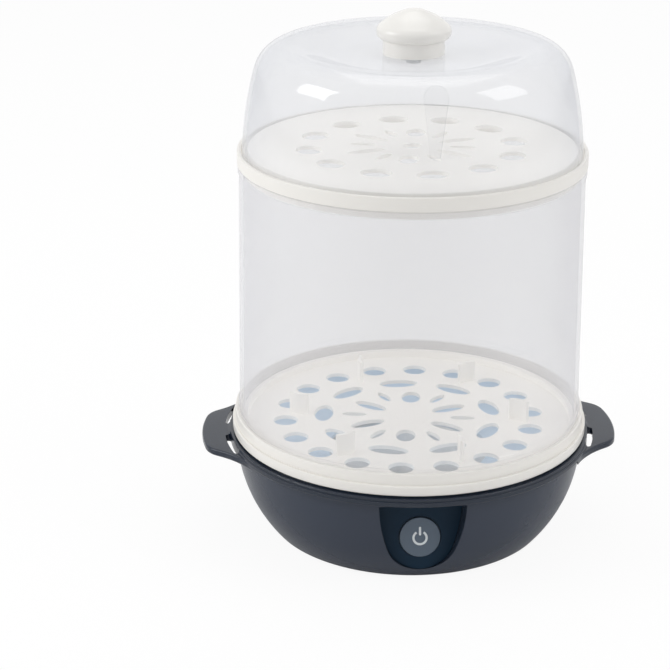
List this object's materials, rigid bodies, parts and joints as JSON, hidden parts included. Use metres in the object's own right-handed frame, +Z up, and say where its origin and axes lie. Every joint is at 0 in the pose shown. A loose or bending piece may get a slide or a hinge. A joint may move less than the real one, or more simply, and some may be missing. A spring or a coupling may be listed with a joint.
{
  "type": "baby bottle steam sterilizer",
  "caption": "Round electric steam sterilizer: heated base with ear handles and a push button, frosted bottle cylinder between two holed trays, and a clear domed lid with a mushroom knob.",
  "frame": {"origin": "middle of the footprint, on the surface that the feet stand on", "axes": "+Z up, switch panel towards -Y, ear handles along +X and -X, cord gland towards +Y"},
  "size_m": [0.2648, 0.2318, 0.3342],
  "materials": {
    "navy_shell": "satin",
    "navy_collar": "semi-gloss",
    "navy_cover": "matt",
    "panel_dark": "semi-gloss",
    "button_slate": "satin",
    "symbol_pale": "satin",
    "tray_white": "satin",
    "frosted_clear": "frosted",
    "clear_lid": "clear",
    "knob_white": "satin",
    "basin_grey": "satin",
    "plate_steel": "spun",
    "clear_silicone": "matt",
    "zinc_steel": "plated",
    "spreader_aluminium": "cast",
    "element_sheath": "oxidised",
    "phenolic_brown": "matt",
    "board_green": "satin",
    "switch_black": "satin",
    "lamp_clear": "clear",
    "foot_rubber": "matt",
    "fitting_black": "satin",
    "terminal_white": "satin",
    "lead_sleeve": "glass sleeve",
    "lead_red": "matt"
  },
  "bodies": {
    "base": {"base_bowl": "navy_shell", "collar_ring": "navy_collar", "bottom_cover": "navy_cover", "control_fascia": "panel_dark", "water_basin": "basin_grey", "heating_plate": "plate_steel", "plate_gasket": "clear_silicone", "return_dome": "clear_silicone", "clamp_ring": "zinc_steel", "clamp_screws": "zinc_steel", "sensor_bracket": "zinc_steel", "sensor_screws": "zinc_steel", "board_screws": "zinc_steel", "base_screws": "zinc_steel", "cord_clamp_screws": "zinc_steel", "heat_spreader": "spreader_aluminium", "heating_element": "element_sheath", "thermostat": "phenolic_brown", "thermal_cutout": "phenolic_brown", "control_board": "board_green", "push_switch": "switch_black", "indicator_lamp": "lamp_clear", "rubber_feet": "foot_rubber", "cord_gland": "fitting_black", "cord_clamp": "fitting_black", "terminal_block": "terminal_white", "heater_leads": "lead_sleeve", "board_leads": "lead_red"},
    "button": {"power_button": "button_slate", "power_symbol": "symbol_pale"},
    "bottle_tray": {"bottle_tray": "tray_white"},
    "steam_cylinder": {"steam_cylinder": "frosted_clear"},
    "upper_tray": {"upper_tray": "tray_white", "lift_tab": "clear_lid"},
    "lid": {"dome_lid": "clear_lid", "lid_knob": "knob_white", "knob_screw": "zinc_steel", "knob_washer": "zinc_steel"}
  },
  "joints": [
    {"name": "button_press", "type": "slide", "parent": "base", "child": "button", "axis": [0, 0.9848, -0.1736], "range_m": [0, 0.0018], "stiffness_N_per_m": 800, "springref_m": -0.0008, "deforming": ["return_dome"]},
    {"name": "bottle_tray_lift", "type": "slide", "parent": "base", "child": "bottle_tray", "axis": [0, 0, 1], "range_m": [0, 0.1]},
    {"name": "cylinder_lift", "type": "slide", "parent": "bottle_tray", "child": "steam_cylinder", "axis": [0, 0, 1], "range_m": [0, 0.2]},
    {"name": "upper_tray_lift", "type": "slide", "parent": "steam_cylinder", "child": "upper_tray", "axis": [0, 0, 1], "range_m": [0, 0.06]},
    {"name": "lid_lift", "type": "slide", "parent": "upper_tray", "child": "lid", "axis": [0, 0, 1], "range_m": [0, 0.08]}
  ]
}
